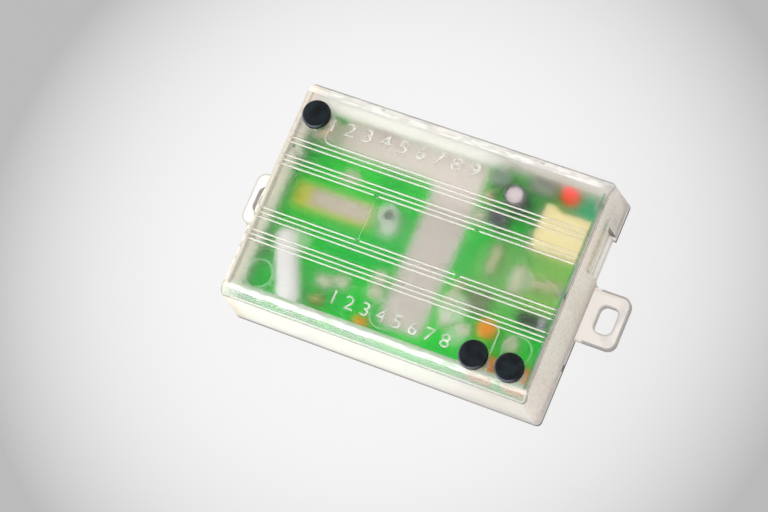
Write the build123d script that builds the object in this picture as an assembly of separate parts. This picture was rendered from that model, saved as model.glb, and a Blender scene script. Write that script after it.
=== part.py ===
from build123d import *
import os
from math import cos, radians, sin, sqrt, tan

os.makedirs("parts", exist_ok=True)

# Sizes in millimetres. +X runs towards the connector end, +Y towards the back and +Z up. All is drawn
# about the middle of the housing's underside and then moved along X, so that the origin lies midway
# between the ends of the two mounting tabs.
origin_shift = -0.6

# Places of what stands on the board, and of the plugs and marks above it, are drawn for a board of
# this size, from a zero point a little to the right of its middle. They spread with the board when
# the housing's size changes.
layout_length = 70.8
layout_width = 48.4
layout_shift = 0.4

# Housing
housing_length = 74.8
housing_width = 53.4
housing_height = 17.7
wall_thickness = 1.4
top_thickness = 1.6
draft_angle = 2.75
corner_radius = 1.2
edge_radius = 0.35
left_edge_radius = 1.1
bevel_width = 2.5
bevel_drop = 2.1
fit_gap = 0.1

# Ribs and panel on the cover's top
rib_width = 0.42
rib_height = 0.3
rib_pitch = 1.1
rib_end_inset = 0.9
inner_group_offset = 6.45
outer_group_offset = 11.75
rib_field_y = 0.45
panel_length = 24.0
panel_gap = 0.6
panel_depth = 0.2
frame_corner_radius = 1.5
frame_corner_run = 3.0
frame_rib_width = 0.3
frame_rib_height = 0.18
rear_frame_inset = 8.65
rear_frame_margin = 1.85
front_frame_inset = 10.85
front_frame_margin = 4.95
ejector_radius = 3.2
ejector_proud = 0.12
ejector_places = [(-30.0, -19.0), (0.0, -18.2), (20.9, -17.8), (30.4, -16.0)]

# Connector window and the brow above it
window_width = 11.0
window_top = 10.9
brow_height = 2.4
brow_proud = 0.5
brow_overhang = 0.5

# Access plugs and adjusters, from the rear one to the outer front one
adjusters = {"rear": (-32.3, 18.7), "inner": (22.1, -20.0), "outer": (30.5, -20.0)}
access_hole_radius = 2.0
access_boss_wall = 0.9
access_boss_drop = 1.4
plug_head_radius = 3.25
plug_head_height = 1.5
plug_crown = 0.2
plug_edge_radius = 0.6
plug_stem_gap = 0.05
plug_stem_length = 3.6
plug_tip_chamfer = 0.4
adjuster_size = 5.2
adjuster_height = 4.6
adjuster_bevel = 0.5
rotor_radius = 2.1
rotor_gap = 0.06
rotor_seat_depth = 1.8
rotor_proud = 0.35
rotor_slot_width = 0.7
rotor_slot_depth = 0.9
rotor_slot_length = 3.2
adjuster_lead_spread = 1.7
adjuster_lead_setback = 0.3

# Base, its lip, posts and snap hooks. Each tab has its reach and its slot's distance from the wall.
base_thickness = 2.0
lip_height = 1.4
lip_thickness = 1.6
tabs = {-1: (7.7, 4.0), 1: (8.9, 4.8)}
tab_width = 12.5
tab_thickness = 2.0
tab_corner_radius = 2.2
slot_width = 4.3
slot_length = 6.3
slot_corner_radius = 1.6
recess_depth = 0.9
recess_width = 10.8
recess_y = 12.1
notch_width = 1.6
notch_y = -13.0
post_radius = 2.0
post_pin_radius = 1.0
post_pin_rise = 0.8
post_hole_gap = 0.1
post_places = [(-32.0, -21.2), (32.6, 21.3)]
hook_spacing = 38.4
hook_width = 5.0
hook_thickness = 1.1
hook_top = 8.6
barb_height = 1.2
barb_proud = 0.45
barb_lead_in = 0.4
pocket_gap = 0.3
rest_thickness = 1.2
rest_reach = 1.7
left_rests = [-11.0, 11.0]
right_rests = [-1.0, 20.4]

# Circuit board and the metal areas on it
board_end_gap = 0.36
board_side_gap = 0.86
board_thickness = 1.6
board_corner_radius = 1.0
board_notch_gap = 0.25
foil_thickness = 0.15
ground_left = -29.4
ground_right = 5.8
ground_column_left = -4.8
ground_front = -18.2
ground_band_front = 15.9
ground_back = 23.6
ground_corner_radius = 1.8
patch_length = 14.4
patch_width = 4.0
patch_centre = (-23.3, 3.8)

# Four way header
header_place = (27.6, 12.6)
header_length = 10.8
header_width = 9.4
header_height = 5.8
header_wall = 0.45
header_back_wall = 2.6
header_step = 0.9
pin_pitch = 2.54
pin_side = 0.64
pin_count = 4
pin_height = 2.9
pin_setback = 1.6
pin_tail = 1.6

# Round parts that stand on the board
light_place = (25.3, 22.45)
light_radius = 1.5
light_height = 5.2
light_flange_radius = 1.9
light_flange_height = 1.0
light_lead_pitch = 2.54
can_place = (15.5, 16.9)
can_radius = 2.4
can_height = 8.0
can_groove_height = 1.4
can_groove_depth = 0.25
can_edge_radius = 0.4
can_dish_radius = 1.5
can_dish_depth = 0.15
sleeve_thickness = 0.12
sleeve_rim = 0.55
can_lead_pitch = 2.0
resonator_place = (-11.3, 4.9)
resonator_radius = 2.4
resonator_height = 2.0
resonator_bore_radius = 0.7
resonator_foot_radius = 1.6
resonator_foot_height = 0.5

# Transistors: moulded bodies with one flat side on three legs
transistors = {"driver": ((10.2, 20.4), 20), "switch": ((13.0, 12.0), 160)}
transistor_radius = 2.25
transistor_flat = 1.3
transistor_height = 4.5
transistor_lift = 1.0
transistor_lead_pitch = 1.27

# Parts that lie on the board: centre, direction in degrees, body radius, body length, lead reach
diodes = {
    "rectifier": ((18.9, 21.9), 0, 1.3, 5.4, 1.4),
    "protection": ((28.5, -6.7), 0, 1.6, 6.9, 0.8),
}
choke_place = (-27.9, -13.8)
choke_direction = -65.0
choke_radius = 2.6
choke_length = 17.2
choke_taper = 2.4
choke_mouth_radius = 1.4
choke_lead_reach = 1.2
resistors = [((14.8, 3.6), 90), ((21.4, 0.8), 90), ((27.9, 1.6), 8), ((9.4, -6.4), 72)]
resistor_radius = 1.15
resistor_waist = 0.15
resistor_length = 6.2
resistor_cap_length = 1.4
resistor_lead_reach = 1.1
body_edge_radius = 0.3
lying_gap = 0.15

# Dipped parts on two legs: centre, turn in degrees
tantalum_place = (20.0, -11.9)
tantalum_radius = 2.2
tantalum_height = 5.4
tantalum_neck_radius = 1.1
discs = [((-7.6, -19.6), 0), ((-18.9, -18.2), 30), ((8.6, 16.4), 80)]
disc_radius = 1.6
disc_thickness = 1.8
disc_foot_cut = 0.25
dipped_lift = 0.4
dipped_lead_pitch = 2.0

# Flat parts soldered on the board's top
ic_place = (14.9, -6.6)
ic_length = 4.9
ic_width = 3.9
ic_height = 1.4
ic_lift = 0.15
ic_bevel = 0.25
ic_lead_pitch = 1.27
ic_leads_a_side = 4
ic_lead_width = 0.42
ic_lead_thickness = 0.2
ic_lead_reach = 1.05
chip_places = [
    (-19.4, -13.6, 0), (-15.6, -12.4, 0), (-7.4, -12.2, 0), (-7.7, -8.8, 90), (-23.2, 10.7, 0),
    (7.9, 11.6, 90), (14.2, -13.2, 0), (9.6, -12.6, 90), (25.6, -12.9, 90),
]
chip_length = 3.2
chip_width = 2.4
chip_height = 1.2
chip_cap = 0.6
chip_cap_step = 0.15

# Leads and solder
lead_radius = 0.28
lead_sides = 8
lead_bend_radius = 0.6
lead_hole_gap = 0.1
leg_side = 0.5
solder_radius = 0.85
solder_height = 0.9
solder_tip_radius = 0.35
solder_sides = 8

# Sizes that follow from the ones above
draft = tan(radians(draft_angle))
board_bottom = base_thickness + lip_height
board_top = board_bottom + board_thickness
ceiling = housing_height - top_thickness


def half_length_at(z):
    return housing_length / 2 - z * draft


def half_width_at(z):
    return housing_width / 2 - z * draft


board_length = 2 * (half_length_at(board_top) - wall_thickness - board_end_gap)
board_width = 2 * (half_width_at(board_top) - wall_thickness - board_side_gap)
spread_x = board_length / layout_length
spread_y = board_width / layout_width


def laid_out(place):
    return (place[0] + layout_shift) * spread_x, place[1] * spread_y


adjuster_places = {name: laid_out(place) for name, place in adjusters.items()}
header_x, header_y = laid_out(header_place)
header_left = header_x - header_length / 2
round_holes = []
square_holes = []


def moved(shape, x, y, z=0.0, turn=0.0):
    return Pos(x, y, z) * Rot(0, 0, turn) * shape


def side_by_side(shapes):
    """Separate solids kept in one sub-part."""
    return Compound([solid for shape in shapes for solid in shape.solids()])


def drafted_block(low, high, inset, bevelled=True):
    """Box with leaning walls between two heights, inset from the housing's outer skin."""
    wide_low = half_width_at(low) - inset
    wide_high = half_width_at(high) - inset
    across = [(-wide_low, low), (wide_low, low)]
    if bevelled:
        wide_bevel = half_width_at(high - bevel_drop) - inset
        across += [(wide_bevel, high - bevel_drop), (wide_high - bevel_width, high)]
        across += [(bevel_width - wide_high, high), (-wide_bevel, high - bevel_drop)]
    else:
        across += [(wide_high, high), (-wide_high, high)]
    long_low = half_length_at(low) - inset
    long_high = half_length_at(high) - inset
    along = [(-long_low, low), (long_low, low), (long_high, high), (-long_high, high)]
    section = extrude(Plane.YZ * make_face(Polyline(*across, close=True)), housing_length, both=True)
    outline = extrude(Plane.XZ * make_face(Polyline(*along, close=True)), housing_width, both=True)
    return section & outline


def upright_edges(block):
    return block.edges().filter_by(lambda edge: abs(edge.tangent_at(0.5).Z) > 0.9)


def rib(start, end, y):
    """Raised line along X with leaning flanks."""
    half = rib_width / 2
    foot = -rib_height / 2
    flank = [(-half, foot), (half, foot), (half / 2, rib_height), (-half / 2, rib_height)]
    profile = Plane.YZ * make_face(Polyline(*flank, close=True))
    return Pos(start, y, housing_height) * extrude(profile, end - start)


def frame_rib(corner_x, y, reach, side):
    """Rib that leaves a long rib at a rounded corner and runs across the top."""
    corner = [(corner_x - side * frame_corner_run, y), (corner_x, y), (corner_x, y - side * reach)]
    path = FilletPolyline(*corner, radius=frame_corner_radius)
    line = trace(path, line_width=frame_rib_width)
    return Pos(0, 0, housing_height - frame_rib_height) * extrude(line, 2 * frame_rib_height)


def ribs():
    """Four groups of three ribs, broken at the panel's corners."""
    end = half_length_at(housing_height)
    reach = end - rib_end_inset
    bevel_y = half_width_at(housing_height) - bevel_width
    rear_x = rear_frame_inset - end
    front_x = end - front_frame_inset
    left_end, right_end = layout_shift - panel_length / 2, layout_shift + panel_length / 2
    lines = []
    for side in (-1, 1):
        for step in (-1, 0, 1):
            outer_y = rib_field_y + side * (outer_group_offset + step * rib_pitch)
            joins_frame = side > 0 and step > 0
            lines.append(rib(rear_x + frame_corner_run if joins_frame else -reach, reach, outer_y))
            inner_y = rib_field_y + side * (inner_group_offset + step * rib_pitch)
            if step < 0:
                lines.append(rib(-reach, left_end - panel_gap, inner_y))
                lines.append(rib(left_end + panel_gap, right_end - panel_gap, inner_y))
                lines.append(rib(right_end + panel_gap, reach, inner_y))
            else:
                lines.append(rib(-reach, reach, inner_y))
    outermost = outer_group_offset + rib_pitch
    rear_y, front_y = rib_field_y + outermost, rib_field_y - outermost
    lines.append(frame_rib(rear_x, rear_y, bevel_y - rear_frame_margin - rear_y, -1))
    lines.append(frame_rib(front_x, front_y, bevel_y - front_frame_margin + front_y, 1))
    return lines


def panel_recess():
    width = 2 * (inner_group_offset - rib_pitch) - rib_width
    recess = Box(panel_length, width, panel_depth, align=(Align.CENTER, Align.CENTER, Align.MAX))
    return Pos(layout_shift, rib_field_y, housing_height) * recess


def hook_places():
    return [(side_x * hook_spacing / 2, side_y) for side_x in (-1, 1) for side_y in (-1, 1)]


def hook_face():
    """Distance of a hook's outer face from the middle, just inside the cover's wall."""
    return half_width_at(hook_top) - wall_thickness - fit_gap


def make_cover():
    shell = drafted_block(base_thickness, housing_height, 0)
    shell = fillet(upright_edges(shell), corner_radius)
    top_edges = shell.faces().sort_by(Axis.Z)[-1].edges().sort_by(Axis.X)
    shell = fillet(top_edges[0], left_edge_radius)
    shell = fillet(shell.faces().sort_by(Axis.Z)[-1].edges().sort_by(Axis.X)[1:], edge_radius)
    hollow = drafted_block(base_thickness, ceiling, wall_thickness)
    hollow = fillet(upright_edges(hollow), max(corner_radius - wall_thickness, edge_radius))
    shell -= hollow

    skin = drafted_block(base_thickness, housing_height - panel_depth, wall_thickness / 2)
    bosses = [
        Pos(x, y, ceiling - access_boss_drop)
        * Cylinder(
            access_hole_radius + access_boss_wall, access_boss_drop + top_thickness / 2,
            align=(Align.CENTER, Align.CENTER, Align.MIN),
        )
        for x, y in adjuster_places.values()
    ]
    marks = [
        Pos(x, y, ceiling - ejector_proud)
        * Cylinder(
            ejector_radius, ejector_proud + top_thickness / 2,
            align=(Align.CENTER, Align.CENTER, Align.MIN),
        )
        for x, y in map(laid_out, ejector_places)
    ]
    rests = []
    for side, places in ((-1, left_rests), (1, right_rests)):
        for y in places:
            root = half_length_at(board_top) - wall_thickness / 2
            length = wall_thickness / 2 + rest_reach
            rest = Box(length, rest_thickness, ceiling + top_thickness / 2 - board_top, align=Align.MIN)
            x = root - length if side > 0 else -root
            rests.append(Pos(x, y * spread_y - rest_thickness / 2, board_top) * rest)
    shell += [detail & skin for detail in bosses + marks + rests]

    shell -= panel_recess()
    shell += ribs()
    holes = [
        Pos(x, y, ceiling) * Cylinder(access_hole_radius, 6 * top_thickness)
        for x, y in adjuster_places.values()
    ]
    pockets = []
    pocket_width = hook_width + 2 * pocket_gap
    pocket_height = barb_height + 2 * pocket_gap
    for x, side in hook_places():
        depth = barb_proud + pocket_gap
        pocket = Box(pocket_width, 2 * depth, pocket_height)
        wall_y = half_width_at(hook_top) - wall_thickness
        pockets.append(Pos(x, side * wall_y, hook_top - barb_lead_in - barb_height / 2) * pocket)
    shell -= holes + pockets

    window = Box(
        6 * wall_thickness, window_width, window_top - base_thickness + 1,
        align=(Align.CENTER, Align.CENTER, Align.MIN),
    )
    shell -= Pos(half_length_at(window_top), header_y, base_thickness - 1) * window
    return shell + brow()


def brow():
    """Raised band along the top of the connector window, with a sloped upper edge."""
    low, high = window_top, window_top + brow_height
    profile = [
        (half_length_at(low) - wall_thickness / 2, low),
        (half_length_at(low) + brow_proud, low),
        (half_length_at(low) + brow_proud, high - brow_proud),
        (half_length_at(high), high),
        (half_length_at(high) - wall_thickness / 2, high),
    ]
    section = Plane.XZ * make_face(Polyline(*profile, close=True))
    return Pos(0, header_y, 0) * extrude(section, window_width / 2 + brow_overhang, both=True)


def tab_outline(side):
    reach, slot_offset = tabs[side]
    root = housing_length / 2 - tab_corner_radius
    plate = Rectangle(reach + tab_corner_radius, tab_width, align=(Align.MIN, Align.CENTER))
    tip = plate.vertices().sort_by(Axis.X)[-2:]
    plate = fillet(tip, tab_corner_radius)
    slot = RectangleRounded(slot_width, slot_length, slot_corner_radius)
    tab = Pos(root, 0) * (plate - Pos(slot_offset + tab_corner_radius, 0) * slot)
    return tab if side > 0 else mirror(tab, about=Plane.YZ)


def make_hook(x, side):
    """Springy tongue with an outward barb that clicks into the cover's pocket."""
    face = hook_face()
    barb_top = hook_top - barb_lead_in
    barb_low = barb_top - barb_height
    profile = [
        (face - hook_thickness, base_thickness / 2), (face, base_thickness / 2), (face, barb_low),
        (face + barb_proud, barb_low + barb_height / 3), (face + barb_proud, barb_low + barb_height / 2),
        (face, barb_top), (face - barb_lead_in / 2, hook_top), (face - hook_thickness, hook_top),
    ]
    tongue = extrude(Plane.YZ * make_face(Polyline(*profile, close=True)), hook_width / 2, both=True)
    if side < 0:
        tongue = mirror(tongue, about=Plane.XZ)
    return Pos(x, 0, 0) * tongue


def make_base():
    floor = drafted_block(0, base_thickness, 0, bevelled=False)
    floor = fillet(upright_edges(floor), corner_radius)
    for side in tabs:
        floor += extrude(tab_outline(side), tab_thickness)
    floor = fillet(floor.faces().sort_by(Axis.Z)[0].outer_wire().edges(), edge_radius)

    lip_outside = drafted_block(base_thickness / 2, board_bottom, wall_thickness + fit_gap, bevelled=False)
    lip_inside = drafted_block(
        base_thickness, board_bottom + 1, wall_thickness + fit_gap + lip_thickness, bevelled=False
    )
    lip = fillet(upright_edges(lip_outside), edge_radius) - lip_inside
    floor += lip

    recess = Box(
        2 * recess_depth, recess_width, 2 * base_thickness, align=(Align.CENTER, Align.CENTER, Align.CENTER)
    )
    notch = Box(2 * recess_depth, notch_width, base_thickness)
    floor -= Pos(housing_length / 2, recess_y * spread_y, 0) * recess
    floor -= Pos(housing_length / 2, notch_y * spread_y, base_thickness) * notch

    for x, y in map(laid_out, post_places):
        post = Cylinder(post_radius, lip_height, align=(Align.CENTER, Align.CENTER, Align.MIN))
        pin_length = board_thickness + post_pin_rise
        pin = Cylinder(post_pin_radius, pin_length, align=(Align.CENTER, Align.CENTER, Align.MIN))
        pin = chamfer(pin.faces().sort_by(Axis.Z)[-1].edges(), post_pin_radius / 3)
        floor += [Pos(x, y, base_thickness) * post, Pos(x, y, board_bottom) * pin]
    floor += [make_hook(x, side) for x, side in hook_places()]
    return floor


def round_lead(x, y, top):
    """Straight wire from a height down to the board's underside, with its hole."""
    round_holes.append((x, y))
    return Pos(x, y, board_bottom) * extrude(RegularPolygon(lead_radius, lead_sides), top - board_bottom)


def stamped_leg(x, y, top, turn=0.0):
    """Square leg cut from a sheet, with its hole."""
    square_holes.append((x, y, leg_side, turn))
    leg = Box(leg_side, leg_side, top - board_bottom, align=(Align.CENTER, Align.CENTER, Align.MIN))
    return moved(leg, x, y, board_bottom, turn)


def in_a_row(place, pitch, count, turn=0.0):
    """Places of legs in one row through a part's middle."""
    steps = [(number - (count - 1) / 2) * pitch for number in range(count)]
    return [(place[0] + step * cos(radians(turn)), place[1] + step * sin(radians(turn))) for step in steps]


def lying_leads(place, direction, radius, length, reach):
    """Two wires that leave a lying part's ends, bend down and go through the board."""
    height = board_top + radius + lying_gap
    end, far = length / 2, length / 2 + reach
    corners = [(end, 0, height), (far, 0, height), (far, 0, board_bottom)]
    path = FilletPolyline(*corners, radius=lead_bend_radius)
    wire = sweep(Plane(path @ 0, z_dir=path % 0) * RegularPolygon(lead_radius, lead_sides), path)
    wires = []
    for turn in (direction, direction + 180):
        round_holes.append((place[0] + far * cos(radians(turn)), place[1] + far * sin(radians(turn))))
        wires.append(moved(wire, *place, 0, turn))
    return wires


def make_component_leads():
    wires = []
    for place, turn in transistors.values():
        for x, y in in_a_row(laid_out(place), transistor_lead_pitch, 3, turn):
            wires.append(stamped_leg(x, y, board_top + transistor_lift, turn))
    for x, y in in_a_row(laid_out(light_place), light_lead_pitch, 2):
        wires.append(stamped_leg(x, y, board_top))
    for x, y in adjuster_places.values():
        inward = -1 if x > 0 else 1
        near, far = inward * adjuster_lead_setback, inward * adjuster_lead_spread
        for dx, dy in ((far, adjuster_lead_spread), (far, -adjuster_lead_spread), (near, 0)):
            wires.append(stamped_leg(x + dx, y + dy, board_top))
    for place, turn in [(tantalum_place, 0), *discs]:
        for x, y in in_a_row(laid_out(place), dipped_lead_pitch, 2, turn):
            wires.append(round_lead(x, y, board_top + dipped_lift))
    for x, y in in_a_row(laid_out(can_place), can_lead_pitch, 2):
        wires.append(round_lead(x, y, board_top))
    for place, direction, radius, length, reach in diodes.values():
        wires += lying_leads(laid_out(place), direction, radius, length, reach)
    wires += lying_leads(
        laid_out(choke_place), choke_direction, choke_radius, choke_length, choke_lead_reach
    )
    for place, direction in resistors:
        wires += lying_leads(
            laid_out(place), direction, resistor_radius, resistor_length, resistor_lead_reach
        )
    return wires


def make_header_pins():
    """Square pins, bent once: a level tip inside the shroud and a tail down through the board."""
    bend_x = header_left - pin_tail
    tip_x = header_left + header_length - pin_setback
    height = board_top + pin_height
    pins = []
    for _, y in in_a_row((bend_x, header_y), pin_pitch, pin_count, 90):
        level = Box(
            tip_x - bend_x + pin_side / 2, pin_side, pin_side, align=(Align.MIN, Align.CENTER, Align.CENTER)
        )
        level = chamfer(level.faces().sort_by(Axis.X)[-1].edges(), pin_side / 4)
        drop = Box(
            pin_side, pin_side, height - board_bottom, align=(Align.CENTER, Align.CENTER, Align.MAX)
        )
        pins.append(Pos(bend_x - pin_side / 2, y, height) * level + Pos(bend_x, y, height) * drop)
        square_holes.append((bend_x, y, pin_side, 0))
    return pins


def make_header_housing(pins):
    """Shroud open towards +X, with a step at its rear corner."""
    low = (Align.MIN, Align.CENTER, Align.MIN)
    shroud = Box(header_length, header_width, header_height, align=low)
    shroud = chamfer(shroud.faces().sort_by(Axis.Z)[-1].edges(), body_edge_radius)
    cavity = Box(
        header_length, header_width - 2 * header_wall, header_height - 2 * header_wall, align=low
    )
    shroud -= Pos(header_back_wall, 0, header_wall) * cavity
    step = Box(header_back_wall, header_step, header_height - header_wall, align=Align.MIN)
    shroud += Pos(0, header_width / 2, 0) * step
    housing = Pos(header_left, header_y, board_top) * shroud
    for pin in pins:
        housing -= pin
    return housing


def make_board():
    board = extrude(RectangleRounded(board_length, board_width, board_corner_radius), board_thickness)
    board = Pos(0, 0, board_bottom) * board
    cuts = []
    for x, side in hook_places():
        inner = hook_face() - hook_thickness - board_notch_gap
        notch = Box(hook_width + 2 * board_notch_gap, board_width, 3 * board_thickness,
                    align=(Align.CENTER, Align.MIN, Align.CENTER))
        cuts.append(moved(notch, x, side * inner, board_top, 0 if side > 0 else 180))
    for x, y in map(laid_out, post_places):
        cuts.append(Pos(x, y, board_top) * Cylinder(post_pin_radius + post_hole_gap, 3 * board_thickness))
    for x, y in round_holes:
        cuts.append(Pos(x, y, board_top) * Cylinder(lead_radius + lead_hole_gap, 3 * board_thickness))
    for x, y, side, turn in square_holes:
        hole = Box(side + 2 * lead_hole_gap, side + 2 * lead_hole_gap, 3 * board_thickness)
        cuts.append(moved(hole, x, y, board_top, turn))
    return board - cuts


def make_solder_joints():
    """One joint under each lead, tapered towards the lead's end."""
    foot = RegularPolygon(solder_radius, solder_sides)
    tip = Pos(0, 0, -solder_height) * RegularPolygon(solder_tip_radius, solder_sides)
    joint = loft([foot, tip], ruled=True)
    places = round_holes + [(x, y) for x, y, _, _ in square_holes]
    return [Pos(x, y, board_bottom) * joint for x, y in places]


def make_ground_plate():
    corners = [
        (ground_left, ground_back), (ground_left, ground_band_front),
        (ground_column_left, ground_band_front), (ground_column_left, ground_front),
        (ground_right, ground_front), (ground_right, ground_back),
    ]
    sheet = make_face(Polyline(*map(laid_out, corners), close=True))
    sheet = fillet(sheet.vertices(), ground_corner_radius)
    return Pos(0, 0, board_top) * extrude(sheet, foil_thickness)


def make_patch():
    strip = extrude(RectangleRounded(patch_length, patch_width, foil_thickness), foil_thickness)
    return moved(strip, *laid_out(patch_centre), board_top)


def make_adjuster(x, y):
    body = Box(adjuster_size, adjuster_size, adjuster_height, align=(Align.CENTER, Align.CENTER, Align.MIN))
    body = chamfer(body.edges().filter_by(Axis.Z), adjuster_bevel)
    body = chamfer(body.faces().sort_by(Axis.Z)[-1].edges(), adjuster_bevel / 2)
    seat = Cylinder(rotor_radius + rotor_gap, 2 * rotor_seat_depth)
    body -= Pos(0, 0, adjuster_height) * seat
    return moved(body, x, y, board_top)


def make_rotor(x, y):
    """Slotted disc that a screwdriver turns, with a pointed end to its slot."""
    height = rotor_seat_depth + rotor_proud - rotor_gap
    disc = Cylinder(rotor_radius, height, align=(Align.CENTER, Align.CENTER, Align.MIN))
    disc = chamfer(disc.faces().sort_by(Axis.Z)[-1].edges(), rotor_proud / 2)
    slot = Box(
        rotor_slot_length, rotor_slot_width, rotor_slot_depth, align=(Align.CENTER, Align.CENTER, Align.MAX)
    )
    disc -= Pos(0, 0, height) * slot
    arrow = extrude(
        make_face(Polyline(
            (rotor_slot_length / 2, 0), (0, rotor_slot_width), (0, -rotor_slot_width), close=True
        )),
        rotor_slot_depth / 2,
    )
    disc -= Pos(0, 0, height - rotor_slot_depth / 2) * arrow
    return moved(disc, x, y, board_top + adjuster_height - rotor_seat_depth + rotor_gap)


def make_plug(x, y):
    """Domed rubber head on a straight stem with a tapered tip."""
    stem_radius = access_hole_radius - plug_stem_gap
    edge = plug_head_height - plug_crown - plug_edge_radius
    half = [
        (0, -plug_stem_length), (stem_radius - plug_tip_chamfer, -plug_stem_length),
        (stem_radius, plug_tip_chamfer - plug_stem_length), (stem_radius, 0), (plug_head_radius, 0),
        (plug_head_radius, edge),
    ]
    shoulder = (plug_head_radius - plug_edge_radius, edge + plug_edge_radius)
    slant = plug_edge_radius * cos(radians(45))
    bend = (shoulder[0] + slant, edge + slant)
    side = Polyline(*half)
    rim = ThreePointArc(half[-1], bend, shoulder)
    crown_radius = (shoulder[0] ** 2 + plug_crown ** 2) / (2 * plug_crown)
    crown_rise = sqrt(crown_radius ** 2 - (shoulder[0] / 2) ** 2) - crown_radius
    crown = ThreePointArc(shoulder, (shoulder[0] / 2, plug_head_height + crown_rise), (0, plug_head_height))
    axis = Line((0, plug_head_height), half[0])
    section = Plane.XZ * make_face(side + rim + crown + axis)
    return moved(revolve(section, Axis.Z), x, y, housing_height)


def make_light():
    straight = light_height - light_radius
    half = [
        (0, 0), (light_flange_radius, 0), (light_flange_radius, light_flange_height),
        (light_radius, light_flange_height), (light_radius, straight),
    ]
    dome = ThreePointArc(
        (light_radius, straight),
        (light_radius * cos(radians(45)), straight + light_radius * sin(radians(45))),
        (0, light_height),
    )
    section = Plane.XZ * make_face(Polyline(*half) + dome + Line((0, light_height), (0, 0)))
    lens = revolve(section, Axis.Z)
    flat = Box(light_flange_radius, 4 * light_flange_radius, light_flange_height,
               align=(Align.MIN, Align.CENTER, Align.MIN))
    lens -= Pos((light_radius + light_flange_radius) / 2, 0, 0) * flat
    return moved(lens, *laid_out(light_place), board_top)


def can_profile(radius, height, edge):
    """Half outline of a can with a crimped groove near its foot."""
    return Plane.XZ * make_face(Polyline(
        (0, 0), (radius, 0), (radius, can_groove_height - can_groove_depth),
        (radius - can_groove_depth, can_groove_height), (radius, can_groove_height + can_groove_depth),
        (radius, height - edge), (radius - edge, height), (0, height), close=True,
    ))


def make_can():
    can = revolve(can_profile(can_radius, can_height, can_edge_radius), Axis.Z)
    can -= Pos(0, 0, can_height) * Cylinder(can_dish_radius, 2 * can_dish_depth)
    return moved(can, *laid_out(can_place), board_top)


def make_can_sleeve(can):
    """Shrunk sleeve that follows the can and laps over its rim."""
    outer = can_profile(can_radius + sleeve_thickness, can_height + sleeve_thickness, can_edge_radius)
    sleeve = moved(revolve(outer, Axis.Z), *laid_out(can_place), board_top) - can
    opening = Cylinder(can_radius - sleeve_rim, 2 * can_dish_depth + 2 * sleeve_thickness)
    sleeve -= moved(opening, *laid_out(can_place), board_top + can_height)
    return max(sleeve.solids(), key=lambda solid: solid.volume)


def make_resonator():
    low = (Align.CENTER, Align.CENTER, Align.MIN)
    foot = Cylinder(resonator_foot_radius, resonator_foot_height, align=low)
    puck = Cylinder(resonator_radius, resonator_height, align=low)
    puck = chamfer(puck.edges().filter_by(GeomType.CIRCLE), body_edge_radius)
    puck = foot + Pos(0, 0, resonator_foot_height) * puck
    puck -= Pos(0, 0, resonator_height) * Cylinder(resonator_bore_radius, 2 * resonator_height)
    return moved(puck, *laid_out(resonator_place), board_top)


def make_transistor(place, turn):
    """Round moulded body with one flat side, standing on its three legs."""
    body = Cylinder(transistor_radius, transistor_height, align=(Align.CENTER, Align.CENTER, Align.MIN))
    flat = Box(4 * transistor_radius, transistor_radius, 2 * transistor_height + 1,
               align=(Align.CENTER, Align.MAX, Align.CENTER))
    body -= Pos(0, -transistor_flat, 0) * flat
    body = chamfer(body.faces().sort_by(Axis.Z)[-1].edges(), body_edge_radius)
    return moved(body, *laid_out(place), board_top + transistor_lift, turn)


def lying(outline, place, direction, radius):
    """Round body turned about its own length, lying on the board."""
    body = revolve(make_face(outline), Axis.X)
    return moved(body, *laid_out(place), board_top + radius + lying_gap, direction)


def make_diode(place, direction, radius, length):
    half, edge = length / 2, body_edge_radius
    outline = Polyline(
        (-half, 0), (-half, radius - edge), (-half + edge, radius), (half - edge, radius),
        (half, radius - edge), (half, 0), close=True,
    )
    return lying(outline, place, direction, radius)


def make_choke():
    """Wound rod in a shrunk sleeve, which draws in to a smaller mouth at both ends."""
    half, radius, mouth, taper = choke_length / 2, choke_radius, choke_mouth_radius, choke_taper
    left = Bezier((-half, mouth), (-half, radius), (taper - half, radius))
    right = Bezier((half - taper, radius), (half, radius), (half, mouth))
    ends = Polyline((half, mouth), (half, 0), (-half, 0), (-half, mouth))
    outline = left + Line(left @ 1, right @ 0) + right + ends
    return lying(outline, choke_place, choke_direction, radius)


def make_resistors():
    half, cap, slope = resistor_length / 2, resistor_cap_length, 2 * resistor_waist
    radius, waist, edge = resistor_radius, resistor_radius - resistor_waist, body_edge_radius
    outline = Polyline(
        (-half, 0), (-half, radius - edge), (-half + edge, radius), (-half + cap, radius),
        (-half + cap + slope, waist), (half - cap - slope, waist), (half - cap, radius),
        (half - edge, radius), (half, radius - edge), (half, 0), close=True,
    )
    return [lying(outline, place, direction, radius) for place, direction in resistors]


def make_tantalum():
    """Dipped bead: a round head drawn in to a narrow neck at the board."""
    radius, height, neck = tantalum_radius, tantalum_height, tantalum_neck_radius
    middle = height - radius
    dome = ThreePointArc(
        (0, height), (radius * sin(radians(45)), middle + radius * cos(radians(45))), (radius, middle)
    )
    taper = Bezier((radius, middle), (radius, middle / 2), (neck, middle / 2), (neck, 0))
    foot = Polyline((neck, 0), (0, 0), (0, height))
    bead = revolve(Plane.XZ * make_face(dome + taper + foot), Axis.Z)
    return moved(bead, *laid_out(tantalum_place), board_top + dipped_lift)


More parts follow.
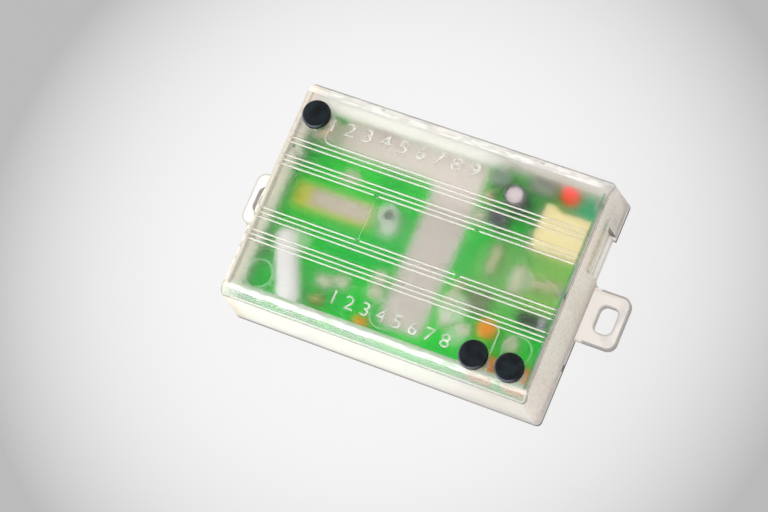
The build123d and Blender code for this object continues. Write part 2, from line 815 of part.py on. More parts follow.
def make_discs():
    """Dipped round wafers standing on edge, cut flat at the foot."""
    wafer = Rot(90, 0, 0) * Cylinder(disc_radius, disc_thickness)
    wafer = chamfer(wafer.edges().filter_by(GeomType.CIRCLE), disc_thickness / 4)
    cut = Box(
        4 * disc_radius, 2 * disc_thickness, disc_radius, align=(Align.CENTER, Align.CENTER, Align.MAX)
    )
    foot_depth = disc_radius - disc_foot_cut
    wafer -= Pos(0, 0, -foot_depth) * cut
    lift = board_top + dipped_lift + foot_depth
    return [moved(wafer, *laid_out(place), lift, turn) for place, turn in discs]


def make_ic():
    body = Box(ic_length, ic_width, ic_height, align=(Align.CENTER, Align.CENTER, Align.MIN))
    body = chamfer(body.faces().sort_by(Axis.Z)[-1].edges(), ic_bevel)
    body = Pos(0, 0, ic_lift) * body
    knee = ic_lift + ic_height / 2
    root, bend, tip = ic_width / 2 - ic_bevel, (ic_width + ic_lead_reach) / 2, ic_width / 2 + ic_lead_reach
    thick = ic_lead_thickness
    lead = [
        (root, knee), (bend, knee), (bend, thick), (tip, thick), (tip, 0), (bend - thick, 0),
        (bend - thick, knee - thick), (root, knee - thick),
    ]
    shape = extrude(Plane.YZ * make_face(Polyline(*lead, close=True)), ic_lead_width / 2, both=True)
    for x, _ in in_a_row((0, 0), ic_lead_pitch, ic_leads_a_side):
        body += [Pos(x, 0, 0) * shape, Pos(x, 0, 0) * mirror(shape, about=Plane.XZ)]
    return moved(body, *laid_out(ic_place), board_top)


def make_chips():
    chip = Box(chip_length, chip_width, chip_height, align=(Align.CENTER, Align.CENTER, Align.MIN))
    groove = Box(
        chip_length - 2 * chip_cap, chip_width, chip_cap_step, align=(Align.CENTER, Align.CENTER, Align.MAX)
    )
    chip -= Pos(0, 0, chip_height) * groove
    return [moved(chip, *laid_out((x, y)), board_top, turn) for x, y, turn in chip_places]


pins = make_header_pins()
leads = make_component_leads()
board = make_board()
can = make_can()

nodes = {
    "cover": make_cover(),
    "base": make_base(),
    "circuit_board": board,
    "ground_plate": make_ground_plate(),
    "patch_antenna": make_patch(),
    "resonator": make_resonator(),
    "header_housing": make_header_housing(pins),
    "header_pins": side_by_side(pins),
    "indicator_light": make_light(),
    "capacitor_can": can,
    "capacitor_sleeve": make_can_sleeve(can),
    "sleeved_choke": make_choke(),
    "resistors": side_by_side(make_resistors()),
    "tantalum_capacitor": make_tantalum(),
    "disc_capacitors": side_by_side(make_discs()),
    "comparator_ic": make_ic(),
    "chip_parts": side_by_side(make_chips()),
    "component_leads": side_by_side(leads),
    "solder_joints": side_by_side(make_solder_joints()),
}
for name, (place, turn) in transistors.items():
    nodes[f"{name}_transistor"] = make_transistor(place, turn)
for name, (place, direction, radius, length, _) in diodes.items():
    nodes[f"{name}_diode"] = make_diode(place, direction, radius, length)
for name, (x, y) in adjuster_places.items():
    nodes[f"access_plug_{name}"] = make_plug(x, y)
    nodes[f"adjuster_body_{name}"] = make_adjuster(x, y)
    nodes[f"adjuster_rotor_{name}"] = make_rotor(x, y)

for name, shape in nodes.items():
    export_step(Pos(origin_shift, 0, 0) * shape, f"parts/{name}.step")
    print(f"{name}: {len(shape.solids())} solids, {shape.volume:.1f} mm3")
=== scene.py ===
from math import cos, radians, sin

import bmesh
import bpy
import numpy as np
from mathutils import Matrix, Vector


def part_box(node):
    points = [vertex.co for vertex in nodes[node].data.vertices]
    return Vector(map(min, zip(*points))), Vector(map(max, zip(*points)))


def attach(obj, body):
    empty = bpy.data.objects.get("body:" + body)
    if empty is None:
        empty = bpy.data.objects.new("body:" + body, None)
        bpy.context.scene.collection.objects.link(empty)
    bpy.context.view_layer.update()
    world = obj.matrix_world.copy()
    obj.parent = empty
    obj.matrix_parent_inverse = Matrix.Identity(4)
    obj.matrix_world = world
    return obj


# Frosted snap-together sensor box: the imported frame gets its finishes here, and the fine pieces are added.
# Places and sizes are in millimetres, in the frame's own axes, and become metres only in the meshes.
# In the dictionaries, a pair given to a smooth step is where it starts and where it ends.

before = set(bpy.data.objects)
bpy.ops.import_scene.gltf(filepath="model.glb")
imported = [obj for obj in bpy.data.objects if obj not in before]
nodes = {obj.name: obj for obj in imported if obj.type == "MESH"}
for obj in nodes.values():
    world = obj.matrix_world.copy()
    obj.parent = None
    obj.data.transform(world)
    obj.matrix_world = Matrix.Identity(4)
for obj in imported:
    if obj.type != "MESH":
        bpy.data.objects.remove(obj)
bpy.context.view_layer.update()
mm = 0.001
print("stage: frame loaded,", len(nodes), "nodes")


def boxOf(name):
    # lowest and highest corner of a node, in millimetres
    low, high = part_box(name)
    return np.array(low) / mm, np.array(high) / mm


def rgb(red, green, blue):
    # screen colour 0 to 255 to the linear colour that shaders take
    def linear(value):
        value = value / 255
        return value / 12.92 if value <= 0.04045 else ((value + 0.055) / 1.055) ** 2.4
    return (linear(red), linear(green), linear(blue), 1.0)


black, white = rgb(0, 0, 0), rgb(255, 255, 255)


def shadeOf(colour, share):
    # a colour made darker or paler by a share
    return tuple(min(1.0, value * share) for value in colour[:3]) + (1.0,)


class Wire:
    # one socket in shader maths: numbers and other wires mix freely with it
    def __init__(self, finish, socket):
        self.finish, self.socket = finish, socket

    def math(self, operation, *others, clamp=False):
        return self.finish.number(operation, self, *others, clamp=clamp)

    def __add__(self, other):
        return self.math("ADD", other)

    def __sub__(self, other):
        return self.math("SUBTRACT", other)

    def __rsub__(self, other):
        return self.finish.number("SUBTRACT", other, self)

    def __mul__(self, other):
        return self.math("MULTIPLY", other)

    def __pow__(self, other):
        return self.math("POWER", other)

    def __abs__(self):
        return self.math("ABSOLUTE")

    __radd__, __rmul__ = __add__, __mul__

    def most(self, other):
        return self.math("MAXIMUM", other)

    def clamped(self):
        return self.math("ADD", 0.0, clamp=True)

    def between(self, low, high, outLow=0.0, outHigh=1.0):
        # smooth step from outLow at low to outHigh at high
        values = [self, low, high, outLow, outHigh]
        return self.finish.node("ShaderNodeMapRange", {"interpolation_type": "SMOOTHSTEP"}, values)


class Finish:
    # one material and its nodes
    def __init__(self, name):
        self.start(bpy.data.materials.new(name), "ShaderNodeOutputMaterial")

    def start(self, owner, outKind):
        owner.use_nodes = True
        self.owner, self.tree = owner, owner.node_tree
        self.tree.nodes.clear()
        self.out = self.tree.nodes.new(outKind)

    def node(self, kind, settings=None, values=None, output=0):
        # settings first, then socket values or links, by order or by name
        made = self.tree.nodes.new(kind)
        for key, value in (settings or {}).items():
            if key == "stops":
                self.setStops(made.color_ramp, value)
            else:
                setattr(made, key, value)
        pairs = values.items() if isinstance(values, dict) else enumerate(values or [])
        for key, value in pairs:
            if isinstance(value, Wire):
                self.tree.links.new(value.socket, made.inputs[key])
            elif value is not None:
                made.inputs[key].default_value = value
        return Wire(self, made.outputs[output])

    def setStops(self, ramp, stops):
        while len(ramp.elements) > 1:
            ramp.elements.remove(ramp.elements[-1])
        ramp.elements[0].position, ramp.elements[0].color = stops[0]
        for position, colour in stops[1:]:
            ramp.elements.new(position).color = colour

    def number(self, operation, *values, clamp=False):
        return self.node("ShaderNodeMath", {"operation": operation, "use_clamp": clamp}, values)

    def spot(self):
        # place on the object in millimetres
        place = self.node("ShaderNodeTexCoord", output=3)
        return self.node("ShaderNodeVectorMath", {"operation": "MULTIPLY"}, [place, (1 / mm, 1 / mm, 1 / mm)])

    def axes(self, vector=None):
        split = self.node("ShaderNodeSeparateXYZ", values=[vector or self.spot()]).socket.node
        return [Wire(self, split.outputs[number]) for number in range(3)]

    def facing(self):
        # the surface's own direction in the object's axes
        return self.axes(self.node("ShaderNodeTexCoord", output=1))

    def placed(self, centre=(0, 0, 0), turn=0.0, stretch=(1, 1, 1)):
        # coordinates centred on a place, turned about Z by an angle in degrees, then stretched
        values = [self.spot(), centre, (0, 0, radians(turn)), stretch]
        return self.node("ShaderNodeMapping", {"vector_type": "TEXTURE"}, values)

    def noise(self, size, detail=3.0, rough=0.5, stretch=None):
        # cloudy value around 0.5 with features of a size in millimetres
        vector = self.placed(stretch=stretch) if stretch else self.spot()
        values = {"Vector": vector, "Scale": 1 / size, "Detail": detail, "Roughness": rough}
        return self.node("ShaderNodeTexNoise", None, values)

    def ramp(self, factor, stops):
        return self.node("ShaderNodeValToRGB", {"stops": stops}, [factor])

    def mix(self, factor, first, second):
        return self.node("ShaderNodeMix", {"data_type": "RGBA"}, {0: factor, 6: first, 7: second}, output=2)

    def bump(self, height, depth, strength=1.0):
        # height 0 to 1 stands for a depth in millimetres
        values = {"Strength": strength, "Distance": depth * mm, "Height": height}
        return self.node("ShaderNodeBump", None, values)

    def shader(self, **values):
        named = {key.replace("_", " "): value for key, value in values.items()}
        return self.node("ShaderNodeBsdfPrincipled", None, named)

    def blend(self, factor, first, second):
        return self.node("ShaderNodeMixShader", None, [factor, first, second])

    def done(self, surface):
        self.tree.links.new(surface.socket, self.out.inputs["Surface"])
        return self.owner


def dress(name, material):
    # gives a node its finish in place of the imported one
    slots = nodes[name].data.materials
    slots.clear()
    slots.append(material)


def squareAway(x, y, centre):
    # square of the distance from a place
    dx, dy = x - centre[0], y - centre[1]
    return dx * dx + dy * dy


def insideBox(x, y, centre, half, soft):
    # 1 inside a rectangle about a centre, fading to 0 over a soft edge
    across = abs(x - centre[0]).between(half[0] + soft, half[0] - soft)
    along = abs(y - centre[1]).between(half[1] + soft, half[1] - soft)
    return across * along


def ringAt(x, y, centre, radius, width):
    # 1 on a thin circle about a centre
    away = squareAway(x, y, centre).math("SQRT")
    return abs(away - radius).between(width, width / 3)


def outlineOf(x, y, centre, half, radius, inner, outer, soft):
    # 1 on a band along a rounded rectangle: its distance is that of a smaller rectangle less the radius
    dx = (abs(x - centre[0]) - (half[0] - radius)).most(0.0)
    dy = (abs(y - centre[1]) - (half[1] - radius)).most(0.0)
    away = (dx * dx + dy * dy).math("SQRT") - radius
    return away.between(inner - soft, inner) * away.between(outer + soft, outer)


# Housing: clear plastic, finely frosted, milkier on the textured walls, the bevels' edges and the ribs

coverLow, coverHigh = boxOf("cover")

housing = {
    "seam": coverLow[2], "ribTall": 0.3, "bevelDrop": 2.1,
    "frontFace": -23.6, "backFace": 23.6, "rightFace": 34.7, "leftFace": -35.9, "wallStep": 0.4,
    "ribMiddle": 0.45, "ribGroups": (9.1, 2.65), "ribGroupHalf": 1.45, "ribPitch": 1.1,
    "ejectors": [(-30.2, -19.0), (-0.2, -18.2), (30.2, -16.0)], "ejectorRadius": 3.2, "ejectorLine": 0.28,
    # the front bevel's green tint is painted light: the board's green caught in the bevel
    "tint": rgb(254, 254, 252), "wallTint": rgb(253, 252, 249), "paintedBoardGreen": rgb(222, 246, 228),
    "blur": 0.31, "wallBlur": 0.36, "bevelClearer": -0.14, "topShine": (0.1, 0.1, 0.1, 1), "bend": 1.49,
    "streak": {"size": 1.0, "rough": 0.6, "stretch": (2.6, 0.5, 0.8)},
    "patches": {"size": 1.0, "detail": 2.0, "stretch": (3.2, 1.3, 1.1)}, "patchStep": (0.42, 0.56),
    "grit": {"size": 0.42, "detail": 2.0, "rough": 0.7},
    "ripple": {"size": 1.6, "detail": 1.0}, "rippleDepth": 0.012, "rippleStrength": 0.4,
    # which way a surface faces, by its direction along an axis
    "facesUp": (0.85, 0.97), "facesSloped": (0.3, 0.6), "facesFront": (-0.1, -0.4), "facesRight": (0.1, 0.4),
    "facesInside": (0.3, 0.6), "frontHalf": (0.0, -1.0), "besideBoard": (9.5, 6.6),
}
housing["top"] = coverHigh[2] - housing["ribTall"]
housing["bevelLow"] = housing["top"] - housing["bevelDrop"]


def clearPlastic(f, tint, blur, bump, **more):
    # see-through plastic, blurred by fine frost
    return f.shader(Base_Color=tint, Roughness=blur, IOR=housing["bend"], Transmission_Weight=1.0,
                    Normal=bump, **more)


def rippleOf(f):
    # slight waviness of the moulded faces
    return f.bump(f.noise(**housing["ripple"]), housing["rippleDepth"], housing["rippleStrength"])


class CoverPoint:
    # a point of the cover: its place, and masks that are 1 where it lies and 0 elsewhere
    def __init__(self, f):
        step = housing["wallStep"]
        self.x, self.y, self.z = f.axes()
        nx, ny, nz = f.facing()
        self.upright = abs(nz)
        self.overFoot, self.overTop = self.z - housing["bevelLow"], self.z - housing["top"]
        self.fromFront, self.fromBack = self.y - housing["frontFace"], housing["backFace"] - self.y
        self.fromLeft, self.pastRight = self.x - housing["leftFace"], self.x - housing["rightFace"]
        self.flat = self.upright.between(*housing["facesUp"])  # 1 on the top, 0 on the bevels and walls
        self.slope = self.upright.between(*housing["facesSloped"]) * (1 - self.flat)  # 1 on the bevels
        self.front, self.back = self.fromFront.between(step, 0.0), self.fromBack.between(step, 0.0)
        self.left, self.right = self.fromLeft.between(step, 0.0), self.pastRight.between(-step, 0.0)
        self.outFront = self.front * ny.between(*housing["facesFront"])
        self.outRight = self.right * nx.between(*housing["facesRight"])
        self.ofFront = self.y.between(*housing["frontHalf"])
        self.backBevel, self.frontBevel = self.slope * self.back, self.slope * self.ofFront
        inside = nx.between(*housing["facesInside"])
        self.lowLeft = self.left * inside * self.z.between(*housing["besideBoard"])  # beside the board
        self.streak = f.noise(**housing["streak"])
        self.patches = f.noise(**housing["patches"]).between(*housing["patchStep"])
        self.grit = f.noise(**housing["grit"])


# Dark outlines of the cover, most of them painted edge shade and painted shadow: heights are over the bevels'
# foot, the ends' places from the wall's inner face
outlines = {
    # the outline colour is painted edge shade, and also draws the real seam, scratches and specks
    "colour": rgb(112, 106, 102), "share": 0.85, "rough": 0.5, "shine": 0.2,
    "roundStarts": (0.12, 0.22), "roundEnds": (0.66, 0.56),
    "crest": (0.45, 0.25), "crestFade": (1.0, 0.7), "crestFadeShare": 0.3,
    "hookPlaces": 19.2, "pocketHalf": (0.7, 0.3), "pocketTall": (1.3, 0.9), "pocketShare": 0.6,
    "foot": (0.3, 0.1), "footShare": 0.5,
    "rightEnd": (0.8, 1.0), "leftEnd": 0.4, "leftEndHalf": (0.4, 0.15), "leftEndShare": 0.55,
    "rearCorner": (-2.2, 0.8), "rearCornerShare": 0.3, "streakGain": 0.8, "streakLeast": 0.5,
    "ribSideStarts": (0.18, 0.26), "ribSideEnds": (0.5, 0.38), "ribReach": (1.66, 1.6), "ribShade": 0.22,
    "seam": (0.45, 0.1), "seamShare": 0.35, "speckStep": (0.42, 0.3), "speckShare": 0.12,
    "scratch": {"size": 1.0, "detail": 2.0, "rough": 0.7, "stretch": (1.0, 0.3, 1.5)},
    "scratchStep": (0.42, 0.66), "scratchShare": 0.2,
    # painted light: the board's green in the top's right edge
    "paintedEdgeGreen": rgb(56, 118, 76), "paintedEdgeGreenShare": 0.5, "edgeStarts": (-0.3, 0.0), "edgeEnds": (0.7, 0.4),
    "edgeFront": (0.2, 0.8), "edgeBack": (0.6, 1.4), "edgeStreakGain": 1.2, "edgeStreakLeast": 0.4,
}


def darkLine(f, colour, bump):
    # the plain dull shader of the lines laid on a surface: painted shade and painted light, and real seams,
    # scratches and specks
    return f.shader(Base_Color=colour, Roughness=outlines["rough"], Specular_IOR_Level=outlines["shine"],
                    Normal=bump)


def coverOutline(f, at):
    # painted shade on the end edges, the bevels' feet and the snap pockets, painted shadow beside each rib,
    # and the real seam, scratches and specks
    look = outlines
    rounded = at.upright.between(*look["roundStarts"]) * at.upright.between(*look["roundEnds"])
    rounded = rounded * at.left.most(at.right)
    crest = at.overFoot.between(*look["crestFade"]) * look["crestFadeShare"]
    crest = crest.most(at.overFoot.between(*look["crest"]))
    pocket = abs(abs(at.x) - look["hookPlaces"]).between(*look["pocketHalf"])
    pocket = pocket * at.overFoot.between(*look["pocketTall"]) * look["pocketShare"]
    foot = at.slope * at.front * at.overFoot.between(*look["foot"]) * look["footShare"]
    leftEnd = abs(at.fromLeft - look["leftEnd"]).between(*look["leftEndHalf"]) * look["leftEndShare"]
    ends = at.flat * at.pastRight.between(*look["rightEnd"]).most(leftEnd)
    rearCorner = at.pastRight.between(*look["rearCorner"]) * look["rearCornerShare"]
    outline = rounded.most(at.backBevel * crest.most(rearCorner).most(pocket)).most(foot).most(ends)
    outline = outline * (at.streak * look["streakGain"] + look["streakLeast"]) * look["share"]
    middle, apart = housing["ribGroups"]
    pitch = housing["ribPitch"]
    for side in (-1, 1):
        for far in (-1, 1):
            # painted shadow along one side of each rib
            local = at.y - (housing["ribMiddle"] + side * (middle + far * apart))
            beside = local.math("WRAP", -pitch / 2, pitch / 2)
            shade = beside.between(*look["ribSideStarts"]) * beside.between(*look["ribSideEnds"])
            outline = outline.most(shade * abs(local).between(*look["ribReach"]) * at.flat * look["ribShade"])
    seam = (at.z - housing["seam"]).between(*look["seam"]) * look["seamShare"]
    outline = outline.most(at.front.most(at.right).most(at.back) * seam)
    scratch = f.noise(**look["scratch"]).between(*look["scratchStep"])
    outline = outline.most(at.outRight * (1 - at.flat) * scratch * look["scratchShare"])
    return outline.most(at.flat * at.grit.between(*look["speckStep"]) * look["speckShare"])


def greenEdge(at):
    # painted light: the board's green as seen through the top's right edge
    look = outlines
    edge = at.flat * at.pastRight.between(*look["edgeStarts"]) * at.pastRight.between(*look["edgeEnds"])
    edge = edge * at.fromFront.between(*look["edgeFront"]) * at.fromBack.between(*look["edgeBack"])
    edge = (edge * (at.streak * look["edgeStreakGain"] + look["edgeStreakLeast"])).clamped()
    return edge * look["paintedEdgeGreenShare"]


# Shares of the frost on each part of the cover, and where they change along it
frosting = {
    "front": (0.82, 0.5), "frontSpan": (2, 37), "back": 0.6, "right": 0.6, "left": 0.55, "inside": 0.06,
    "frontBevel": 0.03, "backBevel": 0.75, "bevelSpan": (1.3, -3.7), "bevelEnd": (0.5, 1.0),
    "streakGain": 0.8, "streakLeast": 0.6,
    # the stripe is a painted highlight along the top of the front bevel
    "stripe": (0.88, 0.52), "stripeSpan": (14, 30), "stripeRise": (-0.85, -0.51), "stripeOnTop": (0.7, 0.4),
    "stripePatch": 0.4, "stripeLeast": 0.6,
    "backHaze": (0.66, 0.05), "backSpan": (6, 14), "backReach": (4.2, 2.1),
    "edgeHaze": 0.5, "edgeReach": (1.4, 0.4), "leftHaze": 0.1, "leftReach": (3.0, 0.0),
    "endHaze": 0.7, "endReach": (0.1, -0.3), "speckStep": (0.58, 0.7), "speckShare": 0.26,
    "wornSpotsAndRimSheen": [((13.6, -11.7), 4.4, 0.3), ((-24.4, -9.0), 3.4, 0.16), ((24.9, -1.3), 4.2, 0.14),
             ((-7.0, 0.1), 2.4, 0.18), ((16.4, -17.2), 3.4, 0.16)],
    "cloud": {"size": 9.0, "detail": 2.0}, "cloudGain": 0.8, "cloudLeast": 0.6,
    "rib": 0.72, "ribRise": (0.03, 0.09), "ribSoft": 0.1, "frame": 0.3, "frameRise": (0.1, 0.16),
    "headerSide": (24.5, 26.0), "headerFront": (6.3, 6.6), "headerClear": 0.75,
    "besideBoard": 0.9, "ring": 0.16,
}


def paintedFrontHighlight(at):
    # painted highlight: a bright milky line where the front bevel meets the top, a little patchy
    look = frosting
    stripe = at.frontBevel * at.overTop.between(*look["stripeRise"])
    stripe = stripe.most(at.flat * at.fromFront.between(*look["stripeOnTop"]))
    stripe = stripe * at.x.between(*look["stripeSpan"], *look["stripe"])
    return stripe * (at.patches * look["stripePatch"] + look["stripeLeast"])


def topHaze(f, at):
    # haze along the top's edges, pale specks and worn spots
    look = frosting
    haze = at.fromBack.between(*look["backReach"]) * at.x.between(*look["backSpan"], *look["backHaze"])
    haze = haze.most(at.fromBack.between(*look["edgeReach"]) * look["edgeHaze"])
    haze = haze.most(at.fromLeft.between(*look["leftReach"]) * look["leftHaze"])
    haze = haze.most(at.fromLeft.between(*look["endReach"]) * look["endHaze"])
    haze = haze.most(at.grit.between(*look["speckStep"]) * look["speckShare"])
    for centre, radius, share in look["wornSpotsAndRimSheen"]:
        haze = haze.most(squareAway(at.x, at.y, centre).between(radius * radius, 0.0) * share)
    return haze * at.flat * (f.noise(**look["cloud"]) * look["cloudGain"] + look["cloudLeast"])


def coverFrost(f, at, stripe):
    # walls, bevels, haze, ribs, the bright stripe of painted highlight, the wall beside the board and the
    # ejector rings
    look = frosting
    wall = (at.outFront * at.x.between(*look["frontSpan"], *look["front"])).most(at.back * look["back"])
    wall = wall.most(at.outRight * look["right"]).most(at.left * look["left"]).most(look["inside"])
    bevel = at.ofFront * (look["frontBevel"] - look["backBevel"]) + look["backBevel"]
    bevel = bevel * at.pastRight.between(*look["bevelSpan"], *look["bevelEnd"])
    frost = (wall * (1 - at.slope) + bevel * at.slope) * (1 - at.flat)
    frost = frost * (at.streak * look["streakGain"] + look["streakLeast"])
    middle, apart = housing["ribGroups"]
    group = abs(abs(abs(at.y - housing["ribMiddle"]) - middle) - apart)
    group = group.between(housing["ribGroupHalf"] + look["ribSoft"], housing["ribGroupHalf"])
    rib = at.overTop.between(*look["ribRise"]) * group * look["rib"]
    overHeader = at.x.between(*look["headerSide"]) * at.y.between(*look["headerFront"])
    rib = rib * (1 - overHeader * look["headerClear"])
    rib = rib.most(at.overTop.between(*look["frameRise"]) * look["frame"])
    frost = frost.most(topHaze(f, at)).most(rib).most(stripe).most(at.lowLeft * look["besideBoard"])
    for centre in housing["ejectors"]:
        ring = ringAt(at.x, at.y, centre, housing["ejectorRadius"], housing["ejectorLine"])
        frost = frost.most(ring * at.flat * look["ring"])
    return frost.clamped()


# Colours of the frost, as scattered back, and the part of the frosted light that is scattered so
milkiness = {
    "glow": rgb(244, 240, 234), "plain": rgb(250, 249, 245), "grain": rgb(220, 216, 210), "grainShare": 0.3,
    "grainCloud": {"size": 0.5, "detail": 2.0, "rough": 0.6}, "grainStep": (0.35, 0.75),
    "backGrain": rgb(214, 211, 206), "backGrainShare": 0.9, "left": rgb(248, 234, 220),
    "right": rgb(248, 234, 229), "rightBack": rgb(226, 216, 210), "rightSpan": (4, 22),
    # the green beside the board is painted light, the board's green bounced into the left wall's frost
    "paintedBoardLight": rgb(52, 196, 92), "scattered": 0.5, "scatteredBack": 0.8, "rough": 0.45, "shine": 0.3,
}


def milkyPlastic(f, milk, glow, share, bump):
    # a share of the light is scattered back by the frost, and the rest passes through it softly
    back = f.shader(Base_Color=milk, Roughness=milkiness["rough"], IOR=housing["bend"],
                    Specular_IOR_Level=milkiness["shine"], Normal=bump)
    through = f.node("ShaderNodeBsdfTranslucent", None, [glow])
    return f.blend(share, through, back)


def coverMilk(f, at, stripe):
    # neutral in front, patchy at the back, beige at the ends, and green beside the board as painted light
    # bounced from it
    look = milkiness
    side = f.mix(at.y.between(*look["rightSpan"]), look["right"], look["rightBack"])
    milk = f.mix(at.outRight * (1 - at.flat), look["plain"], side)
    grain = f.noise(**look["grainCloud"]).between(*look["grainStep"])
    milk = f.mix(grain * look["grainShare"] * (1 - stripe), milk, look["grain"])
    milk = f.mix(at.backBevel * (1 - at.patches) * look["backGrainShare"], milk, look["backGrain"])
    milk = f.mix(at.fromLeft.between(*frosting["leftReach"]), milk, look["left"])
    return f.mix(at.lowLeft, milk, look["paintedBoardLight"])


def frostedCoverFinish():
    # clear plastic under frost, under the green edge of painted light, under the dark outlines, most of them
    # painted shade
    f = Finish("frosted_cover_plastic")
    at = CoverPoint(f)
    bump = rippleOf(f)
    stripe = paintedFrontHighlight(at)
    clearTop = clearPlastic(f, housing["tint"], housing["blur"], bump, Specular_Tint=housing["topShine"])
    # painted light: the front bevel's clear plastic is tinted with the board's green
    boardLitTint = f.mix(at.frontBevel, housing["wallTint"], housing["paintedBoardGreen"])
    clearSide = clearPlastic(f, boardLitTint, at.frontBevel * housing["bevelClearer"] + housing["wallBlur"], bump)
    scattered = stripe.most(at.backBevel * milkiness["scatteredBack"])
    scattered = scattered.most(at.lowLeft).most(milkiness["scattered"])
    milky = milkyPlastic(f, coverMilk(f, at, stripe), milkiness["glow"], scattered, bump)
    surface = f.blend(coverFrost(f, at, stripe), f.blend(at.flat, clearSide, clearTop), milky)
    surface = f.blend(greenEdge(at), surface, darkLine(f, outlines["paintedEdgeGreen"], bump))
    return f.done(f.blend(coverOutline(f, at).clamped(), surface, darkLine(f, outlines["colour"], bump)))


baseLook = {
    "tint": rgb(252, 251, 248), "blur": 0.4, "glow": rgb(240, 236, 230), "scattered": 0.7,
    # the milk darkens to the right as painted shade, where the housing shades the right tab
    "milkLeft": rgb(255, 253, 250), "shadedMilkRight": rgb(232, 226, 222), "milkSpan": (-30, 30),
    "milkSide": rgb(176, 170, 166), "facesSideways": (0.7, 0.3),
    "cloud": {"size": 7.0, "detail": 2.0}, "cloudGain": 0.2, "cloudLeast": 0.7,
    # the dark outline colour is painted shade: a contact shadow at the bottom edge and edge shade round the
    # tabs and slots
    "outline": rgb(72, 68, 65), "middle": -0.6, "endStarts": (36.9, 37.1), "tabClear": (6.3, 6.6),
    "sideStarts": (26.1, 26.3), "rimTall": (1.3, 0.9), "rimShare": 0.95,
    "left": {"centre": (-42.0, 0.0), "half": (3.7, 6.25), "slot": (-42.0, 0.0), "share": 0.35},
    "right": {"centre": (41.2, 0.0), "half": (4.5, 6.25), "slot": (41.6, 0.0), "share": 0.5},
    "cornerRadius": 2.2, "slotHalf": (2.15, 3.15), "slotRadius": 1.6, "tabStarts": (38.2, 38.6),
    "line": 0.32, "slotLine": 0.7, "slotShare": 0.6, "bandReach": 2.0, "bandSoft": 0.15,
}


def baseOutline(f, x, y, z):
    # painted shade: a dark line along the bottom edge as the floor's contact shadow, and dark lines round
    # each tab and round its slot
    look = baseLook
    ends = abs(x - look["middle"]).between(*look["endStarts"]) * abs(y).between(*look["tabClear"])
    # painted contact shadow along the bottom edge
    outline = abs(y).between(*look["sideStarts"]).most(ends) * z.between(*look["rimTall"]) * look["rimShare"]
    line, reach, soft = look["line"], look["bandReach"], look["bandSoft"]
    for tab in (look["left"], look["right"]):
        rim = outlineOf(x, y, tab["centre"], tab["half"], look["cornerRadius"], -line, reach, soft)
        lipWide = line * look["slotLine"]
        lip = outlineOf(x, y, tab["slot"], look["slotHalf"], look["slotRadius"], -reach, lipWide, soft)
        onTab = abs(x).between(*look["tabStarts"]) * tab["share"]
        outline = outline.most(rim.most(lip * look["slotShare"]) * onTab)
    return outline.clamped()


def frostedBaseFinish():
    # milkier than the cover, paler on the left and darker to the right as painted shade, greyer on its sides
    f = Finish("frosted_base_plastic")
    look = baseLook
    x, y, z = f.axes()
    bump = rippleOf(f)
    milk = f.mix(x.between(*look["milkSpan"]), look["milkLeft"], look["shadedMilkRight"])
    milk = f.mix(abs(f.facing()[2]).between(*look["facesSideways"]), milk, look["milkSide"])
    milky = milkyPlastic(f, milk, look["glow"], look["scattered"], bump)
    cloud = (f.noise(**look["cloud"]) * look["cloudGain"] + look["cloudLeast"]).clamped()
    surface = f.blend(cloud, clearPlastic(f, look["tint"], look["blur"], bump), milky)
    return f.done(f.blend(baseOutline(f, x, y, z), surface, darkLine(f, look["outline"], bump)))


# Circuit board: green mask over copper, bare laminate round the patch antenna

boardLook = {
    "mask": rgb(0, 192, 60), "vivid": rgb(0, 212, 46), "deep": rgb(4, 130, 40), "deepShare": 0.25,
    "blots": {"size": 14.0, "detail": 2.0, "rough": 0.4}, "blotStops": (0.4, 0.6),
    "zones": [((30.4, 20.8), 7.5, rgb(0, 196, 138)), ((19.0, 1.0), 12.0, rgb(120, 196, 104)),
              ((28.5, 1.5), 9.0, rgb(142, 204, 98)), ((11.5, 19.5), 6.0, rgb(70, 220, 60)),
              ((-22.5, 13.5), 7.0, rgb(0, 220, 44)), ((-11.3, 3.4), 4.3, rgb(176, 206, 176))],
    "laminate": rgb(214, 206, 60), "edge": rgb(150, 190, 90), "facesSideways": (0.6, 0.3),
    "patchCentre": (-25.1, 3.6), "patchHalf": (9.4, 2.7), "patchSoft": 0.25,
    "routeTurn": 45, "routeWidth": 0.16, "routeSoft": 0.3, "routeLength": 9.0, "routePitch": 2.2,
    "routeDepth": 0.035, "routeStrength": 0.6, "rough": 0.28, "laminateRougher": 0.25, "shine": 0.12,
}


def circuitBoardFinish():
    # green mask in changing tones over slanted copper routes, which stand out a little
    f = Finish("green_solder_mask")
    look = boardLook
    x, y = f.axes()[:2]
    stops = list(zip(look["blotStops"], (look["mask"], look["vivid"])))
    mask = f.ramp(f.noise(**look["blots"]), stops)
    for centre, reach, colour in look["zones"]:
        mask = f.mix(squareAway(x, y, centre).between(reach * reach, 0.0), mask, colour)
    routes = f.node("ShaderNodeTexBrick", {"offset": 0.5, "squash": 1.0}, {
        "Vector": f.placed(turn=look["routeTurn"]), "Color1": black, "Color2": black, "Mortar": white,
        "Scale": 1.0, "Mortar Size": look["routeWidth"], "Mortar Smooth": look["routeSoft"],
        "Brick Width": look["routeLength"], "Row Height": look["routePitch"],
    }, output=1)
    mask = f.mix(routes * look["deepShare"], mask, look["deep"])
    bare = insideBox(x, y, look["patchCentre"], look["patchHalf"], look["patchSoft"])
    colour = f.mix(bare, mask, look["laminate"])
    colour = f.mix(abs(f.facing()[2]).between(*look["facesSideways"]), colour, look["edge"])
    return f.done(f.shader(Base_Color=colour, Roughness=bare * look["laminateRougher"] + look["rough"],
                           Normal=f.bump(routes, look["routeDepth"], look["routeStrength"]),
                           Specular_IOR_Level=look["shine"]))


# Tinned and bare metal: which nodes share a finish, its colours, its stains' size and how metallic it is

